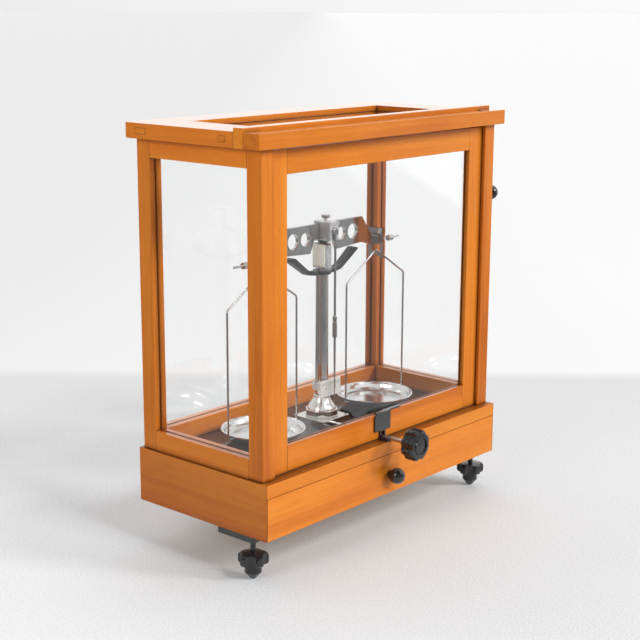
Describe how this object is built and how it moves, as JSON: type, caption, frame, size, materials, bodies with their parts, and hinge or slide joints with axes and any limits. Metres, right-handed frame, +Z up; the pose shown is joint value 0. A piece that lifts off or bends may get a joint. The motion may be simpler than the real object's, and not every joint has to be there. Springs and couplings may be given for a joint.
{
  "type": "two-pan analytical balance",
  "caption": "Glazed wooden case on levelling feet with a lift-up front sash and a drawer, enclosing an equal-arm beam on a pillar with hanging pans, pointer and arrestment knob.",
  "frame": {"origin": "on the table plane, under the centre of the bounding box", "axes": "+Z up, -Y towards the user (sash, drawer and knobs), +X to the user's right"},
  "size_m": [0.4244, 0.2368, 0.4655],
  "materials": {
    "varnished_wood": "gloss",
    "plain_wood": "matte",
    "clear_glass": "gloss",
    "black_glass": "gloss",
    "black_plastic": "gloss",
    "black_enamel": "satin",
    "steel": "satin",
    "nickel_chrome": "polished",
    "plated_brass": "polished",
    "silver_aluminium": "satin",
    "ivory_plastic": "satin",
    "agate": "polished"
  },
  "bodies": {
    "case": {"base_sides": "varnished_wood", "base_back": "varnished_wood", "base_front_rail": "varnished_wood", "base_top": "plain_wood", "base_bottom": "plain_wood", "foot_bars": "black_enamel", "rear_foot": "black_enamel", "posts_front": "varnished_wood", "posts_rear": "varnished_wood", "rails_left": "varnished_wood", "rails_right": "varnished_wood", "rails_back": "varnished_wood", "glass_sides": "clear_glass", "glass_back": "clear_glass", "lid_sides": "varnished_wood", "lid_cross_front": "varnished_wood", "lid_cross_rear": "varnished_wood", "lid_strip": "varnished_wood", "lid_front": "varnished_wood", "glass_top": "clear_glass", "floor_plate": "black_glass", "pillar_plate": "nickel_chrome", "pillar_base": "nickel_chrome", "pillar": "nickel_chrome", "head_block": "silver_aluminium", "head_cover": "ivory_plastic", "centre_bearing": "agate", "index_plate": "silver_aluminium", "shaft_bearing": "black_enamel"},
    "sash": {"sash_stiles": "varnished_wood", "sash_rail_bottom": "varnished_wood", "sash_rail_top": "varnished_wood", "sash_glass": "clear_glass", "sash_lift": "black_enamel"},
    "sash_lock": {"sash_lock": "black_plastic"},
    "drawer": {"drawer_front": "varnished_wood", "drawer_tray": "plain_wood", "drawer_knob": "black_plastic"},
    "foot_left": {"foot_left": "black_plastic"},
    "foot_right": {"foot_right": "black_plastic"},
    "arrest_shaft": {"arrest_shaft": "steel", "arrest_knob": "black_plastic"},
    "arrest_frame": {"arrest_rod": "steel", "arrest_arms": "black_enamel"},
    "beam": {"beam": "silver_aluminium", "beam_saddle": "silver_aluminium", "centre_knife": "steel", "end_knives": "steel", "pointer": "nickel_chrome", "pointer_sleeve": "plated_brass"},
    "sensitivity_screw": {"sensitivity_screw": "nickel_chrome"},
    "balance_nut_left": {"balance_nut_left": "nickel_chrome"},
    "balance_nut_right": {"balance_nut_right": "nickel_chrome"},
    "stirrup_left": {"stirrup_left": "nickel_chrome"},
    "stirrup_right": {"stirrup_right": "nickel_chrome"},
    "hanger_left": {"bow_left": "steel", "pan_left": "nickel_chrome"},
    "hanger_right": {"bow_right": "steel", "pan_right": "nickel_chrome"}
  },
  "joints": [
    {"name": "sash_slide", "type": "slide", "parent": "case", "child": "sash", "axis": [0, 0, 1], "range_m": [0, 0.24]},
    {"name": "sash_lock_turn", "type": "hinge", "parent": "case", "child": "sash_lock", "pos_m": [0.19706, -0.0569, 0.3635], "axis": [1, 0, 0], "range_deg": [-180, 180]},
    {"name": "drawer_slide", "type": "slide", "parent": "case", "child": "drawer", "axis": [0, -1, 0], "range_m": [0, 0.12]},
    {"name": "foot_left_turn", "type": "hinge", "parent": "case", "child": "foot_left", "pos_m": [-0.19594, -0.0484, 0.03], "axis": [0, 0, 1], "range_deg": [-180, 180]},
    {"name": "foot_right_turn", "type": "hinge", "parent": "case", "child": "foot_right", "pos_m": [0.19006, -0.0484, 0.03], "axis": [0, 0, 1], "range_deg": [-180, 180]},
    {"name": "arrest_turn", "type": "hinge", "parent": "case", "child": "arrest_shaft", "pos_m": [-0.00294, -0.09, 0.1111], "axis": [0, -1, 0], "range_deg": [0, 90]},
    {"name": "arrest_lift", "type": "slide", "parent": "case", "child": "arrest_frame", "axis": [0, 0, 1], "range_m": [0, 0.00127]},
    {"name": "beam_tilt", "type": "hinge", "parent": "case", "child": "beam", "pos_m": [-0.00294, 0.0286, 0.31905], "axis": [0, 1, 0], "range_deg": [-1.2, 1.2]},
    {"name": "sensitivity_screw_turn", "type": "hinge", "parent": "beam", "child": "sensitivity_screw", "pos_m": [-0.00294, 0.0236, 0.3445], "axis": [0, 0, 1], "range_deg": [-180, 180]},
    {"name": "balance_nut_left_turn", "type": "hinge", "parent": "beam", "child": "balance_nut_left", "pos_m": [-0.12294, 0.0286, 0.31], "axis": [1, 0, 0], "range_deg": [-180, 180]},
    {"name": "balance_nut_right_turn", "type": "hinge", "parent": "beam", "child": "balance_nut_right", "pos_m": [0.11706, 0.0286, 0.31], "axis": [1, 0, 0], "range_deg": [-180, 180]},
    {"name": "stirrup_left_swing", "type": "hinge", "parent": "beam", "child": "stirrup_left", "pos_m": [-0.09894, 0.0286, 0.319], "axis": [0, 1, 0], "range_deg": [-3, 3]},
    {"name": "stirrup_right_swing", "type": "hinge", "parent": "beam", "child": "stirrup_right", "pos_m": [0.09306, 0.0286, 0.319], "axis": [0, 1, 0], "range_deg": [-3, 3]},
    {"name": "bow_left_swing", "type": "hinge", "parent": "stirrup_left", "child": "hanger_left", "pos_m": [-0.09894, 0.0286, 0.2967], "axis": [1, 0, 0], "range_deg": [-3, 3]},
    {"name": "bow_right_swing", "type": "hinge", "parent": "stirrup_right", "child": "hanger_right", "pos_m": [0.09306, 0.0286, 0.2967], "axis": [1, 0, 0], "range_deg": [-3, 3]}
  ],
  "couplings": [
    {"joint": "arrest_turn", "follows": "arrest_lift", "rad_per_m": 1234.1}
  ]
}
